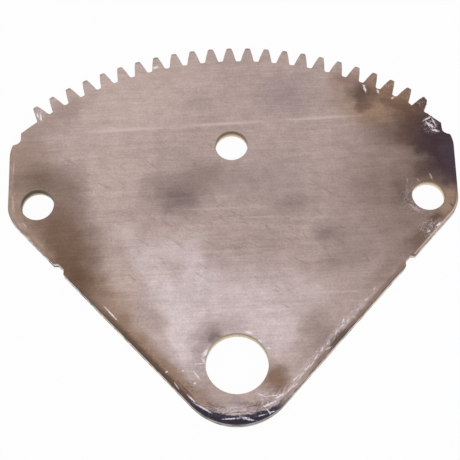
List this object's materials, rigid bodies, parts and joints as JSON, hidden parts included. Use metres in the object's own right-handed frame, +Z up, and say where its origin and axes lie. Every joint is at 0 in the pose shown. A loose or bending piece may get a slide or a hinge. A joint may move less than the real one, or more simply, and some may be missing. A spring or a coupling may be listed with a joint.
{
  "type": "sector gear",
  "caption": "Flat blanked steel sector gear with an involute toothed arc, a large pivot bore in its hub and smaller bolt bores in its ears and under the teeth.",
  "frame": {"origin": "centre of the pivot bore, in the plane of the plate's underside", "axes": "+Z up through the plate's thickness along the pivot bore, +Y from the pivot towards the middle tooth, +X along the plate's width"},
  "size_m": [0.2398, 0.2152, 0.006],
  "materials": {
    "blanked_steel": "satin rolled steel with fine streaks, brown and blue heat colour towards the edges, scuffs and scratches"
  },
  "bodies": {
    "root": {"sector_gear": "blanked_steel"}
  },
  "joints": []
}
